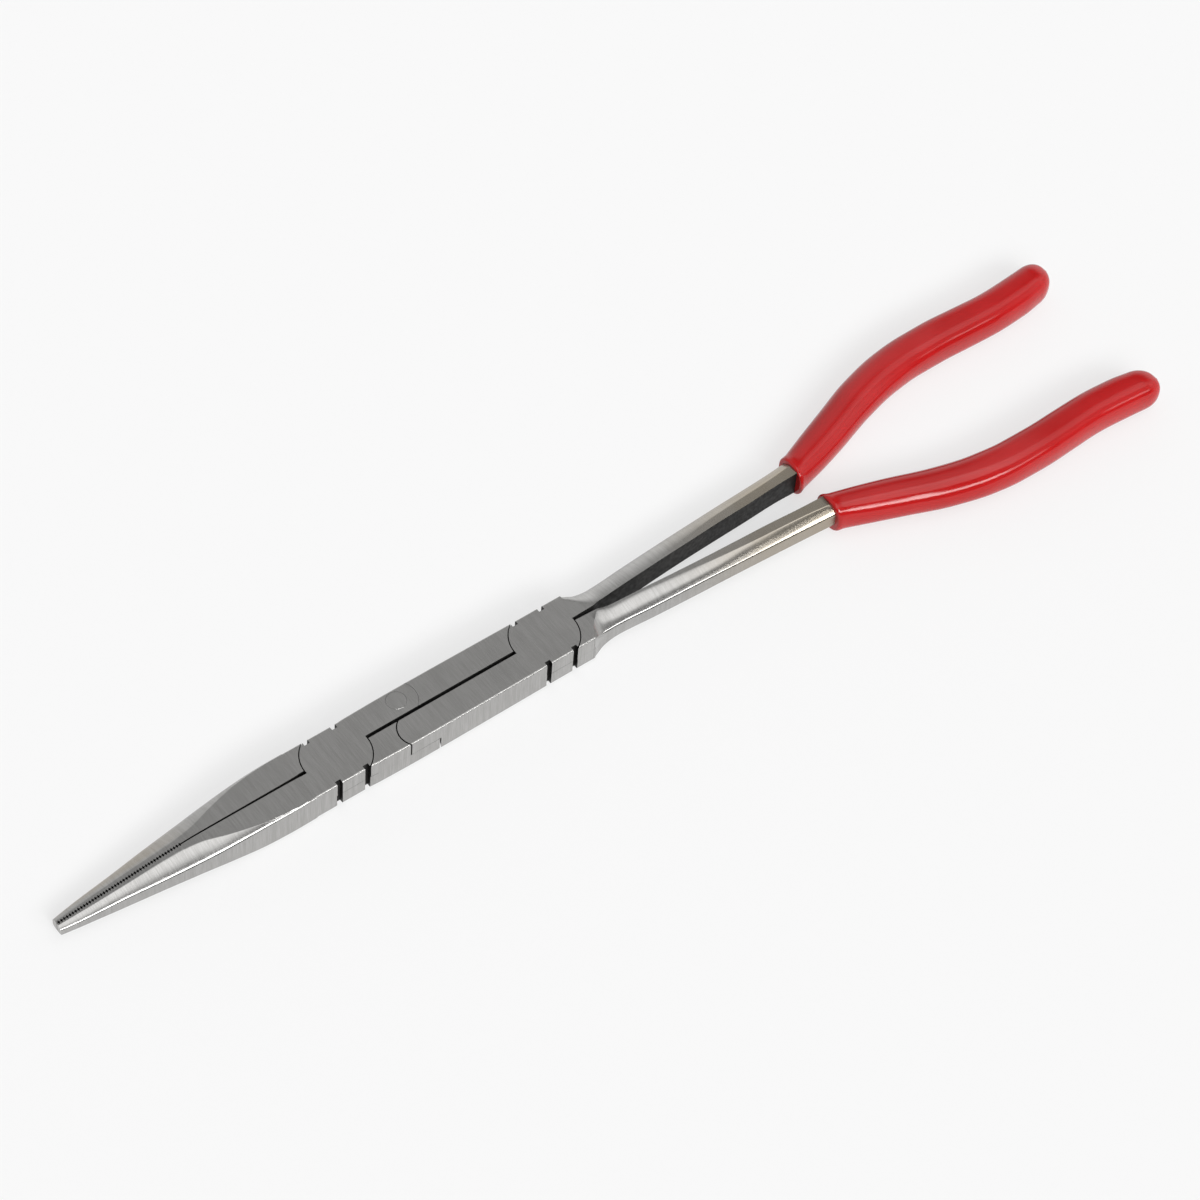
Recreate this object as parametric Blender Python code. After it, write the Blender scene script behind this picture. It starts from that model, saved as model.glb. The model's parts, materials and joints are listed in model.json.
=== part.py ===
"""Double-joint long-reach needle-nose pliers with dipped grips, closed and lying flat.

Jaws point to -X and grips to +X; the joint axes are vertical. Lengths are in millimetres
until they reach a mesh. X is counted from the rear pivot and Z from the underside of the
forgings, until place() moves a point into the world.
"""

from math import acos, asin, cos, pi, sin

import bmesh
import bpy
from mathutils import Vector

MM = 0.001

# Overall lengths along X, from the rear pivot.
TIP_X = -147.4
GRIP_END_X = 190.4
WORLD_SHIFT_X = -(TIP_X + GRIP_END_X) / 2

# The flat forgings: thickness, and the half width at each joint.
THICK = 9.2
MID_Z = THICK / 2
FRONT_HALF_WIDTH = 7.95
LINK_HALF_WIDTH = 8.35
REAR_HALF_WIDTH = 8.15
EDGE_CHAMFER = 0.45
ARM_GAP_HALF = 0.5

# Joint centres.
FRONT_X = -64.85
LINK_X = -43.0
LINK_Y = 5.0

# Lap joints: discs that turn in hollow shoulders, half the thickness each. A block's straight
# edge ends BLOCK_EDGE_END from the pivot, where its hollow shoulder begins.
DISC_RADIUS = 9.2
SHOULDER_RADIUS = 9.5
LAP_END_RADIUS = 5.45
LAP_SHOULDER_RADIUS = 5.8
LAP_GAP = 0.3
LAP_OVERLAP = 0.5
ARC_STEPS = 14
BLOCK_EDGE_END = 6.7
EDGE_PIECES = 4

# Relief slots cut in both edges beside each disc.
SLOT_INNER = 3.4
SLOT_OUTER = 5.0
SLOT_DEPTH = 1.25
SLOT_CORNER = 0.15

# Rivets and pins.
RIVET_RADIUS = 3.2
PIN_RADIUS = 2.7
BLIND_DEPTH = 1.2
RUNNING_GAP = 0.05
LOOSE_GAP = 0.3
PIN_SIDES = 32
OVERCUT = 1.0

# Solids joined into one forging are stepped by this much, so that they never share a face.
JOIN_STEP = 0.02
JOIN_OVERLAP = 0.6

# The belt line where upper and lower roundings meet on noses and shanks.
BELT_Z = 3.4

# Roundings of the long parts' outer sides: facets, height per width, and the narrowest flat.
ROUNDING_STEPS = 5
ROUNDING_STEEPNESS = 1.4
LEAST_FLAT = 0.05

# Teeth along the inner face of each nose.
TOOTH_PITCH = 0.82
TOOTH_COUNT = 44
TOOTH_CREST = 0.15
TOOTH_ROOT = 0.5

# Profiles are (x, value) points joined by smooth curves.
NOSE_START_X = -76.0
NOSE_OUTER = ((-147.4, 2.25), (-139, 3.6), (-123, 5.55), (-107.5, 6.95), (-96, 7.95), (-86, 8.35),
              (-76, 8.1))
NOSE_TOP = ((-147.4, 5.3), (-140, 6.0), (-128.7, 7.2), (-117, 8.45), (-106, 9.2), (-80, 9.2),
            (-76.6, 9.22))
NOSE_UNDERSIDE = ((-147.4, 1.8), (-128, 0.7), (-106, 0.0), (-80, 0.0), (-76.6, -0.02))
NOSE_FLAT_EDGE = ((-112, 0.3), (-107.5, 1.2), (-103.4, 2.2), (-99.8, 3.4), (-94.4, 5.4),
                  (-88.9, 7.2), (-84, 7.8), (-76, 7.65))
NOSE_INNER = ((-112, 0.2), (-100, 0.3), (-88, 0.38), (-76, 0.46))
NOSE_STATIONS = 10

SHANK_START_X = 10.2
SHANK_INNER = ((10.8, 0.47), (17, 0.75), (24, 1.05), (29, 1.35), (41, 2.1), (60, 3.1), (72, 4.0),
               (88, 5.35))
SHANK_OUTER = ((10.8, 8.18), (14, 8.0), (20, 7.7), (41, 8.4), (60, 9.3), (74, 10.05), (88, 11.3))
SHANK_TOP = ((10.8, 9.22), (13, 9.2), (16, 9.2), (20, 8.95), (50, 9.1), (88, 8.8))
SHANK_FLAT_TOP = ((10.2, 7.4), (12.3, 5.4), (14.5, 3.2), (16.5, 1.4), (19, 0.9))
SHANK_FLAT_UNDERSIDE = ((10.8, 7.7), (12, 7.3), (15, 5.2), (18, 2.6), (21, 1.0))
SHANK_INNER_CORNER = ((10.2, 0.2), (15, 0.3), (39, 1.5), (52, 2.3), (66, 2.3), (79, 1.5), (88, 0.8))
SHANK_STATIONS = (10.2, 10.8, 11.5, 12.3, 13.2, 14.2, 15.2, 16.2, 17.5, 19, 21, 25, 32, 41, 50, 60,
                  70, 80)

# Grips: centre line, half width across and end cap.
GRIP_START_X = 87.8
GRIP_CENTRE = ((87.8, 7.65), (98, 11.0), (106, 13.75), (118.5, 18.2), (130.5, 21.1), (140, 22.1),
               (149, 22.2), (158, 21.8), (168, 21.4), (177.5, 21.9), (185, 22.8), (190.4, 23.5))
GRIP_HALF_WIDTH = ((87.8, 4.8), (90, 4.95), (98, 5.55), (108, 5.9), (118.5, 6.05), (130, 6.0),
                   (140, 5.85), (158, 5.7), (168, 5.6), (178, 5.6), (184, 5.35))
GRIP_HALF_THICK = 5.3
GRIP_HALF_HEIGHT = ((87.8, 5.0), (98, 4.95), (118, 5.05), (140, 5.2), (150, 5.3), (190.4, 5.3))
GRIP_POWER = 2.4
GRIP_CAP_LENGTH = 6.2
GRIP_CAP_STEPS = 6
GRIP_CAP_POWER = 0.8
GRIP_NUB_SHARE = 0.16
GRIP_BEAD = 0.35
GRIP_BEAD_LENGTH = 1.6
GRIP_SIDES = 28
GRIP_STATIONS = (87.8, 88.6, 89.6, 92, 96, 101, 106, 112, 118.5, 125, 130.5, 136, 142, 149, 158,
                 168, 177)
CORE_END_X = 182.5
CORE_HALF = 3.5
CORE_BLEND = 14.0
CORE_STEPS = 16
CAVITY_GAP = 0.3
MOUTH_OVERRUN = 2.0

WORLD_LIFT_Z = GRIP_HALF_THICK - MID_Z


def read_profile(points, x):
    """A smooth curve through the points, flat beyond both ends, with no overshoot between them."""
    if x <= points[0][0]:
        return points[0][1]
    if x >= points[-1][0]:
        return points[-1][1]
    slopes = [(b[1] - a[1]) / (b[0] - a[0]) for a, b in zip(points, points[1:])]
    tangents = [slopes[0]]
    for before, after in zip(slopes, slopes[1:]):
        same_way = before * after > 0
        tangents.append(2 * before * after / (before + after) if same_way else 0.0)
    tangents.append(slopes[-1])
    for i, (a, b) in enumerate(zip(points, points[1:])):
        if x <= b[0]:
            span = b[0] - a[0]
            t = (x - a[0]) / span
            rise = t * t * (3 - 2 * t)
            start = t * (1 - t) ** 2 * tangents[i]
            finish = t * t * (t - 1) * tangents[i + 1]
            return a[1] + rise * (b[1] - a[1]) + span * (start + finish)
    return points[-1][1]


def half_width(x):
    """Half width of the flat forgings, a little wider at the link pins than at the pivots."""
    points = ((FRONT_X, FRONT_HALF_WIDTH), (LINK_X, LINK_HALF_WIDTH), (0.0, REAR_HALF_WIDTH))
    return read_profile(points, x)


def place(point):
    """A point of the model, in metres in the world."""
    x, y, z = point
    return Vector((x + WORLD_SHIFT_X, y, z + WORLD_LIFT_Z)) * MM


def turned_over(point):
    """The point after half a turn about the long axis of the pliers."""
    x, y, z = point
    return (x, -y, THICK - z)


def clear_scene():
    for obj in list(bpy.data.objects):
        bpy.data.objects.remove(obj, do_unlink=True)


def make_material(name, colour, roughness, metallic):
    material = bpy.data.materials.new(name)
    material.use_nodes = True
    shader = material.node_tree.nodes["Principled BSDF"]
    shader.inputs["Base Color"].default_value = (*colour, 1.0)
    shader.inputs["Roughness"].default_value = roughness
    shader.inputs["Metallic"].default_value = metallic
    return material


def make_object(name, rings, origin, smooth=False):
    """A solid through rings of points, each ring joined to the next and the ends filled."""
    build = bmesh.new()
    loops = [[build.verts.new(place(point) - origin) for point in ring] for ring in rings]
    for low, high in zip(loops, loops[1:]):
        count = len(low)
        for i in range(count):
            j = (i + 1) % count
            build.faces.new((low[i], low[j], high[j], high[i]))
    build.faces.new(loops[0][::-1])
    build.faces.new(loops[-1])
    bmesh.ops.recalc_face_normals(build, faces=build.faces)
    mesh = bpy.data.meshes.new(name)
    build.to_mesh(mesh)
    build.free()
    for face in mesh.polygons:
        face.use_smooth = smooth
    obj = bpy.data.objects.new(name, mesh)
    obj.location = origin
    bpy.context.scene.collection.objects.link(obj)
    return obj


def make_helper(obj):
    obj.hide_render = True
    obj.display_type = "WIRE"
    return obj


def add_boolean(obj, other, operation):
    modifier = obj.modifiers.new(operation.title(), "BOOLEAN")
    modifier.operation = operation
    modifier.solver = "EXACT"
    modifier.object = other


def arc(centre_x, centre_y, radius, start, finish, steps=ARC_STEPS):
    """Points along an arc, with angles in radians, both ends included."""
    points = []
    for i in range(steps + 1):
        angle = start + (finish - start) * i / steps
        points.append((centre_x + radius * cos(angle), centre_y + radius * sin(angle)))
    return points


class Joint:
    """Outlines round one pivot, drawn for the strip at +X and +Y of it.

    The strip on the other side is the same drawing after half a turn about the pivot. Every
    outline can be drawn with its long outer edge moved in, with as many points as before.
    """

    def __init__(self, pivot_x, side, flat_x):
        self.pivot_x = pivot_x
        self.side = side
        self.flat_x = flat_x

    def width(self, x):
        return half_width(self.pivot_x + self.side * x)

    def out(self, points):
        return [(self.pivot_x + self.side * x, self.side * y) for x, y in points]

    def link_arc(self, radius, direction, step, inset):
        """The round of a lap end (direction 1) or of its shoulder (-1), from the gap outwards."""
        centre = abs(LINK_X - self.pivot_x)
        inner = asin((LINK_Y - ARM_GAP_HALF - step) / radius)
        outer = asin((LINK_HALF_WIDTH - LINK_Y - step - inset) / radius)
        if direction > 0:
            return arc(centre, LINK_Y, radius, -inner, outer)
        return arc(centre, LINK_Y, radius, pi + inner, pi - outer)

    def long_edge(self, start_x, finish_x, step):
        """Points between two places on the outer edge, leaving out both ends."""
        spacing = (finish_x - start_x) / EDGE_PIECES
        places = [start_x + spacing * i for i in range(1, EDGE_PIECES)]
        return [(x, self.width(x) - step) for x in places]

    def half_disc(self, inset):
        """From the slot under the disc's round, by the strip's end, to the strip's own slot."""
        edge = self.width(0.0)
        floor = edge - SLOT_DEPTH
        corner = min(DISC_RADIUS * sin(acos(SLOT_OUTER / DISC_RADIUS)), edge - inset)
        points = [(SLOT_INNER, inset - edge), (SLOT_INNER, -floor)]
        points += [(SLOT_OUTER, -floor), (SLOT_OUTER, -corner)]
        points += arc(0.0, 0.0, DISC_RADIUS, -asin((corner - SLOT_CORNER) / DISC_RADIUS),
                      asin(ARM_GAP_HALF / DISC_RADIUS))
        if self.flat_x is None:
            points += self.link_arc(LAP_END_RADIUS, 1, 0.0, inset)
        else:
            points += [(self.flat_x, ARM_GAP_HALF), (self.flat_x, self.width(self.flat_x) - inset)]
        points += self.long_edge(points[-1][0], SLOT_OUTER, inset)
        points += [(SLOT_OUTER, edge - inset), (SLOT_OUTER, floor)]
        points += [(SLOT_INNER, floor), (SLOT_INNER, edge - inset)]
        return self.out(points)

    def block(self, inset):
        """The full-height part of the strip, between the disc's shoulder and the strip's end."""
        edge = self.width(0.0) - JOIN_STEP - inset
        gap = ARM_GAP_HALF + JOIN_STEP
        if self.flat_x is None:
            points = self.link_arc(LAP_SHOULDER_RADIUS, -1, JOIN_STEP, inset)
        else:
            end_x = self.flat_x - JOIN_OVERLAP / 2
            points = [(end_x, gap), (end_x, self.width(end_x) - JOIN_STEP - inset)]
        points += self.long_edge(points[-1][0], BLOCK_EDGE_END, JOIN_STEP + inset)
        points += arc(0.0, 0.0, SHOULDER_RADIUS, asin(edge / SHOULDER_RADIUS),
                      asin(gap / SHOULDER_RADIUS))
        return self.out(points)


def ring_at(outline, z):
    return [(x, y, z) for x, y in outline]


def cylinder_rings(x, y, radius, low_z, high_z):
    circle = arc(x, y, radius, 0.0, 2 * pi * (1 - 1 / PIN_SIDES), PIN_SIDES - 1)
    return [[(px, py, z) for px, py in circle] for z in (low_z, high_z)]


def section(x, side, inner, outer, underside, top, belt, flat_top, flat_underside, corner):
    """One cross-section: flat inner face, flat top and underside, and a rounded outer side.

    The flats end at flat_top and flat_underside; the roundings meet at the belt's height. The
    lower inner corner is cut off by corner.
    """
    points = [(inner + corner, underside), (inner, underside + corner), (inner, top)]
    reach = outer - flat_top
    drop = min(top - belt, max(EDGE_CHAMFER, reach * ROUNDING_STEEPNESS))
    for i in range(ROUNDING_STEPS + 1):
        angle = pi / 2 * (1 - i / ROUNDING_STEPS)
        points.append((flat_top + reach * cos(angle), top - drop * (1 - sin(angle))))
    reach = outer - flat_underside
    rise = min(belt - underside, max(EDGE_CHAMFER, reach * ROUNDING_STEEPNESS))
    for i in range(ROUNDING_STEPS + 1):
        angle = pi / 2 * i / ROUNDING_STEPS
        points.append((flat_underside + reach * cos(angle), underside + rise * (1 - sin(angle))))
    return [(x, side * y, z) for y, z in points]


def nose_section(x, inner, side):
    outer = read_profile(NOSE_OUTER, x)
    flat = max(read_profile(NOSE_FLAT_EDGE, x), inner + LEAST_FLAT)
    top = read_profile(NOSE_TOP, x)
    underside = read_profile(NOSE_UNDERSIDE, x)
    return section(x, side, inner, outer, underside, top, BELT_Z, flat, flat + LEAST_FLAT, LEAST_FLAT)


def nose_rings(side):
    """Sections from the tip to the joint: teeth first, then a gap that widens towards the joint."""
    rings = []
    for i in range(TOOTH_COUNT):
        crest_x = TIP_X + i * TOOTH_PITCH
        rings.append(nose_section(crest_x, TOOTH_CREST, side))
        rings.append(nose_section(crest_x + TOOTH_PITCH / 2, TOOTH_ROOT, side))
    teeth_end = TIP_X + TOOTH_COUNT * TOOTH_PITCH
    for i in range(NOSE_STATIONS):
        x = teeth_end + (NOSE_START_X - teeth_end) * i / (NOSE_STATIONS - 1)
        rings.append(nose_section(x, read_profile(NOSE_INNER, x), side))
    return rings


def shank_section(x, side):
    inner = read_profile(SHANK_INNER, x)
    outer = read_profile(SHANK_OUTER, x)
    top = read_profile(SHANK_TOP, x)
    flat_top = max(read_profile(SHANK_FLAT_TOP, x), inner + LEAST_FLAT)
    corner = read_profile(SHANK_INNER_CORNER, x)
    flat_underside = max(read_profile(SHANK_FLAT_UNDERSIDE, x), inner + corner + LEAST_FLAT)
    return section(x, side, inner, outer, THICK - top, top, BELT_Z, flat_top, flat_underside, corner)


def core_section(x, margin, side):
    """The handle's core inside its grip, a rounded bar about the grip's centre line."""
    blend = min(1.0, max(0.0, (x - GRIP_START_X) / CORE_BLEND))
    centre = read_profile(GRIP_CENTRE, x)
    shank_inner = read_profile(SHANK_INNER, x)
    shank_outer = read_profile(SHANK_OUTER, x)
    shank_half = read_profile(SHANK_TOP, x) - MID_Z
    inner = shank_inner + blend * (centre - CORE_HALF - shank_inner) - margin
    outer = shank_outer + blend * (centre + CORE_HALF - shank_outer) + margin
    half = shank_half + blend * (CORE_HALF - shank_half) + margin
    corner = read_profile(SHANK_INNER_CORNER, x)
    flat = inner + LEAST_FLAT + blend * CORE_HALF / 2
    belt = BELT_Z + blend * (MID_Z - BELT_Z)
    low_flat = max(flat, inner + corner + LEAST_FLAT)
    return section(x, side, inner, outer, MID_Z - half, MID_Z + half, belt, flat, low_flat, corner)


def core_stations():
    spacing = (CORE_END_X - GRIP_START_X) / CORE_STEPS
    return [GRIP_START_X + spacing * i for i in range(CORE_STEPS + 1)]


def shank_rings(side):
    rings = [shank_section(x, side) for x in SHANK_STATIONS]
    return rings + [core_section(x, 0.0, side) for x in core_stations()]


def rounded(value):
    """The signed power that turns a circle's coordinate into a rounded square's."""
    return abs(value) ** (2 / GRIP_POWER) * (1 if value > 0 else -1)


def grip_ring(x, share, side):
    """One outer section of a grip: a rounded square, drawn in to this share of its size."""
    bead = GRIP_BEAD * max(0.0, 1 - (x - GRIP_START_X) / GRIP_BEAD_LENGTH)
    centre = read_profile(GRIP_CENTRE, x)
    across = read_profile(GRIP_HALF_WIDTH, x) * share + bead
    up = min(GRIP_HALF_THICK, read_profile(GRIP_HALF_HEIGHT, x) * share + bead)
    ring = []
    for i in range(GRIP_SIDES):
        angle = 2 * pi * i / GRIP_SIDES
        y = centre + across * rounded(cos(angle))
        ring.append((x, side * y, MID_Z + up * rounded(sin(angle))))
    return ring


def make_grip(name, side, material):
    outer = [grip_ring(x, 1.0, side) for x in GRIP_STATIONS]
    for i in range(GRIP_CAP_STEPS + 1):
        angle = pi / 2 * i / GRIP_CAP_STEPS
        x = GRIP_END_X - GRIP_CAP_LENGTH * (1 - sin(angle))
        outer.append(grip_ring(x, max(GRIP_NUB_SHARE, cos(angle) ** GRIP_CAP_POWER), side))
    obj = make_object(name, outer, pivot_origin(0.0, 0.0), smooth=True)
    cavity = [core_section(x, CAVITY_GAP, side) for x in core_stations()]
    mouth = [(x - MOUTH_OVERRUN, y, z) for x, y, z in cavity[0]]
    last = [(x + CAVITY_GAP, y, z) for x, y, z in cavity[-1]]
    cavity = [mouth] + cavity[:-1] + [last]
    cutter = make_helper(make_object(name + "_cavity", cavity, pivot_origin(0.0, 0.0)))
    add_boolean(obj, cutter, "DIFFERENCE")
    obj.data.materials.append(material)
    return obj


def pivot_origin(x, y):
    """The joint axis at this place, at the forgings' middle height."""
    return place((x, y, MID_Z))


def make_forging(name, joints, long_rings, origin, over, material):
    """A jaw or handle: half-thickness disc plate, two full-height blocks and the long end."""
    turn = turned_over if over else tuple

    def solid(suffix, rings):
        points = [[turn(point) for point in ring] for ring in rings]
        return make_object(name + suffix, points, origin)

    lap_z = MID_Z + LAP_GAP / 2
    plate = [point for joint in joints for point in joint.half_disc(0.0)]
    drawn_in = [point for joint in joints for point in joint.half_disc(EDGE_CHAMFER)]
    rings = [ring_at(plate, lap_z), ring_at(plate, THICK - EDGE_CHAMFER), ring_at(drawn_in, THICK)]
    forging = solid("", rings)
    for i, joint in enumerate(joints):
        block = joint.block(0.0)
        rings = [ring_at(joint.block(EDGE_CHAMFER), 0.0), ring_at(block, EDGE_CHAMFER)]
        rings.append(ring_at(block, lap_z + LAP_OVERLAP))
        add_boolean(forging, make_helper(solid("_block_" + str(i + 1), rings)), "UNION")
    long_end = make_helper(make_object(name + "_long_end", long_rings, origin))
    add_boolean(forging, long_end, "UNION")
    forging.data.materials.append(material)
    return forging


def cut_hole(forging, x, y, radius, low_z, high_z):
    rings = cylinder_rings(x, y, radius, low_z, high_z)
    cutter = make_object(forging.name + "_hole", rings, forging.location.copy())
    add_boolean(forging, make_helper(cutter), "DIFFERENCE")


def make_pin(name, x, y, radius, low_z, high_z, material):
    pin = make_object(name, cylinder_rings(x, y, radius, low_z, high_z), pivot_origin(x, y))
    for face in pin.data.polygons:
        face.use_smooth = len(face.vertices) == 4
    pin.data.materials.append(material)
    return pin


def main():
    clear_scene()
    steel = make_material("ground_steel", (0.42, 0.41, 0.39), 0.35, 1.0)
    pin_steel = make_material("pin_steel", (0.5, 0.49, 0.47), 0.3, 1.0)
    vinyl = make_material("red_vinyl", (0.6, 0.02, 0.03), 0.25, 0.0)

    front = [Joint(FRONT_X, 1, None), Joint(FRONT_X, -1, FRONT_X - NOSE_START_X + JOIN_OVERLAP)]
    rear = [Joint(0.0, 1, SHANK_START_X + JOIN_OVERLAP), Joint(0.0, -1, None)]
    upper_link = pivot_origin(LINK_X, LINK_Y)
    lower_link = pivot_origin(LINK_X, -LINK_Y)
    rear_pivot = pivot_origin(0.0, 0.0)
    left_jaw = make_forging("left_jaw", front, nose_rings(-1), upper_link, False, steel)
    right_jaw = make_forging("right_jaw", front, nose_rings(1), lower_link, True, steel)
    right_handle = make_forging("right_handle", rear, shank_rings(1), rear_pivot, False, steel)
    left_handle = make_forging("left_handle", rear, shank_rings(-1), rear_pivot, True, steel)

    low, high = BLIND_DEPTH, THICK - BLIND_DEPTH
    rivets = (
        ("front_pivot_rivet", FRONT_X, left_jaw, right_jaw, LOOSE_GAP),
        ("rear_pivot_rivet", 0.0, right_handle, left_handle, RUNNING_GAP),
    )
    for name, x, top_half, bottom_half, bottom_gap in rivets:
        cut_hole(top_half, x, 0.0, RIVET_RADIUS + RUNNING_GAP, MID_Z, high + RUNNING_GAP)
        cut_hole(bottom_half, x, 0.0, RIVET_RADIUS + bottom_gap, low - RUNNING_GAP, MID_Z)
        make_pin(name, x, 0.0, RIVET_RADIUS, low, high, pin_steel)

    hole = PIN_RADIUS + RUNNING_GAP
    above, below = MID_Z + OVERCUT, MID_Z - OVERCUT
    cut_hole(left_jaw, LINK_X, LINK_Y, hole, below, THICK + OVERCUT)
    cut_hole(left_handle, LINK_X, LINK_Y, hole, low - RUNNING_GAP, above)
    make_pin("right_link_pin", LINK_X, LINK_Y, PIN_RADIUS, low, THICK, pin_steel)
    cut_hole(right_jaw, LINK_X, -LINK_Y, hole, -OVERCUT, above)
    cut_hole(right_handle, LINK_X, -LINK_Y, hole, below, high + RUNNING_GAP)
    make_pin("left_link_pin", LINK_X, -LINK_Y, PIN_RADIUS, 0.0, high, pin_steel)

    make_grip("right_grip", 1, vinyl)
    make_grip("left_grip", -1, vinyl)


main()
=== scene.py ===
import json
from math import acos, asin, atan2, cos, pi, radians, sin

import bmesh
import bpy
from mathutils import Matrix, Vector


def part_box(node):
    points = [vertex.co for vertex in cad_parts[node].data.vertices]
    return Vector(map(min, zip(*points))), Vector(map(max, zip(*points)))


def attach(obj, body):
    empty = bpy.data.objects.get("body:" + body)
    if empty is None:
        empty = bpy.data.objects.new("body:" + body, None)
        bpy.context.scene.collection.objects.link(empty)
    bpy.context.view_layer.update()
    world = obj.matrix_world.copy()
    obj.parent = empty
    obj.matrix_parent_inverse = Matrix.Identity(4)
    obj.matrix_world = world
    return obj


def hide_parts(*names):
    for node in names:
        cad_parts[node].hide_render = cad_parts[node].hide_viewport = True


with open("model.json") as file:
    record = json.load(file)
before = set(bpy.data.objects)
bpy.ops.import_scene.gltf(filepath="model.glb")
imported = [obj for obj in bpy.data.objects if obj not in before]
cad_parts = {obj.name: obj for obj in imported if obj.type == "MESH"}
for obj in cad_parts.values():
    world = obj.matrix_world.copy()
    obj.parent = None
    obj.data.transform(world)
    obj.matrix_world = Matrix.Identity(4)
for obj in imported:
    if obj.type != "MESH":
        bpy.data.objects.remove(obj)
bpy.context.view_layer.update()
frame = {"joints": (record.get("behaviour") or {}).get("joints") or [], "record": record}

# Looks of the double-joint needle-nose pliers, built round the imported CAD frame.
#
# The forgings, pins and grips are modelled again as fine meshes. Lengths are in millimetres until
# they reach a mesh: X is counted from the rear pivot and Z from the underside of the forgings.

MM = 0.001

# Places from the frame.
PIVOTS = {joint["name"]: Vector(joint["pos_m"]) / MM for joint in frame["joints"]}
REAR = PIVOTS["handle_pivot"]
FORGING_LOW, FORGING_HIGH = (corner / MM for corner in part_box("right_handle"))
RIVET_LOW, RIVET_HIGH = (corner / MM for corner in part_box("front_pivot_rivet"))
GRIP_LOW, GRIP_HIGH = (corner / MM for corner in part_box("right_grip"))
ORIGIN = Vector((REAR.x, 0.0, FORGING_LOW.z))
THICK = FORGING_HIGH.z - FORGING_LOW.z
MID_Z = THICK / 2
FRONT_X = (RIVET_LOW.x + RIVET_HIGH.x) / 2 - REAR.x
LINK_X = PIVOTS["right_link"].x - REAR.x
LINK_Y = PIVOTS["right_link"].y
TIP_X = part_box("left_jaw")[0].x / MM - REAR.x
GRIP_START_X = GRIP_LOW.x - REAR.x
GRIP_END_X = GRIP_HIGH.x - REAR.x
GRIP_HALF_THICK = (GRIP_HIGH.z - GRIP_LOW.z) / 2

# The flat forgings: half widths at the joints, edge rounding and the gap between their arms.
FRONT_HALF_WIDTH = 7.95
LINK_HALF_WIDTH = 8.35
REAR_HALF_WIDTH = 8.15
EDGE_ROUND = 0.45
EDGE_STEPS = 4
ARM_GAP_HALF = 0.5

# Lap joints: discs that turn in hollow shoulders, half the thickness each.
DISC_RADIUS = 9.2
SHOULDER_RADIUS = 9.5
LAP_END_RADIUS = 5.45
LAP_SHOULDER_RADIUS = 5.8
CLOSE_LAP_RADIUS = 5.73  # the left jaw's lap end, whose shoulder line hardly shows
LAP_GAP = 0.1
LAP_OVERLAP = 0.5
ARC_STEPS = 48
BLOCK_EDGE_END = 6.7
EDGE_PIECES = 10

# Relief slots cut in both edges beside each disc.
SLOT_INNER = 3.4
SLOT_OUTER = 5.0
SLOT_DEPTH = 1.25
SLOT_CORNER = 0.15

# Rivets and pins.
RIVET_RADIUS = 3.2
PIN_RADIUS = 2.7
PIN_CHAMFER = 0.02
BLIND_DEPTH = 1.2
RUNNING_GAP = 0.05
LOOSE_GAP = 0.3
PIN_SIDES = 96
PIN_FACE_RINGS = (0.3, 0.6)
OVERCUT = 1.0

# Solids joined into one forging are stepped by this much, so that they never share a face.
JOIN_STEP = 0.004
JOIN_OVERLAP = 0.6

# The long parts' cross-sections. Tilts are from level; a scoop's start and end tilts differ by
# LEAST_TURN or more, since its formula has no answer for a straight line.
NOSE_SCOOP_TILT = 32.0
FOOT_TILT = radians(25)
STEEPEST_START = radians(60)
LEAST_TURN = radians(1)
SCOOP_STEPS = 9
FILLET_STEPS = 10
RIM = 0.05
LEAST_FLAT = 0.08

# Teeth: (share of the pitch, distance from the middle plane) round one tooth.
TOOTH_PITCH = 0.82
TOOTH_COUNT = 44
TOOTH_CREST = 0.06
TOOTH_ROOT = 0.42
TOOTH_SHAPE = ((0.0, TOOTH_CREST), (0.4, TOOTH_CREST), (0.55, TOOTH_ROOT), (0.85, TOOTH_ROOT))

# Profiles are (x, value) points joined by smooth curves. Each outer side is vertical between two
# fillets, whose centres stand at the shoulder's and the foot's height.
NOSE_START_X = -76.0
NOSE_OUTER = ((-147.4, 2.0), (-145, 2.41), (-140, 3.1), (-130, 4.15), (-120, 5.42), (-110, 6.52),
              (-100, 7.42), (-90, 7.97), (-82, 8.18), (-76, 8.1))
NOSE_CROWN = ((-147.4, 5.1), (-140, 5.95), (-128.7, 7.2), (-117, 8.45), (-106, 9.2), (-76.6, 9.22))
NOSE_LOW = ((-147.4, 1.8), (-128, 0.7), (-106, 0.0), (-80, 0.0), (-76.6, -0.02))
NOSE_SHOULDER = ((-147.4, 4.05), (-145, 4.15), (-140, 4.42), (-130, 5.0), (-120, 5.43),
                 (-110, 5.9), (-100, 6.85), (-95, 7.45), (-90, 8.0), (-85, 8.35), (-76, 8.75))
NOSE_FOOT = ((-147.4, 2.6), (-140, 2.7), (-130, 2.35), (-120, 2.5), (-110, 2.2), (-100, 1.4),
             (-92, 0.6), (-88, 0.45), (-76, 0.45))
NOSE_FILLET = ((-147.4, 0.65), (-140, 0.8), (-130, 1.0), (-120, 1.2), (-110, 1.35), (-100, 1.3),
               (-90, 1.0), (-80, 0.6), (-76, 0.45))
NOSE_FLAT_EDGE = ((-147.4, 0.6), (-140, 0.9), (-130, 1.2), (-120, 1.35), (-112, 1.6), (-107, 2.25),
                  (-105, 2.75), (-100, 4.47), (-95, 5.85), (-90, 6.92), (-85, 7.5), (-80, 7.75),
                  (-76, 7.65))
NOSE_LOW_EDGE = ((-106, 0.6), (-100, 3.5), (-95, 6.0), (-90, 7.2), (-85, 7.55), (-76, 7.65))
NOSE_INNER = ((-112, 0.15), (-100, 0.2), (-88, 0.26), (-80, 0.3), (-76, 0.38))
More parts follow.
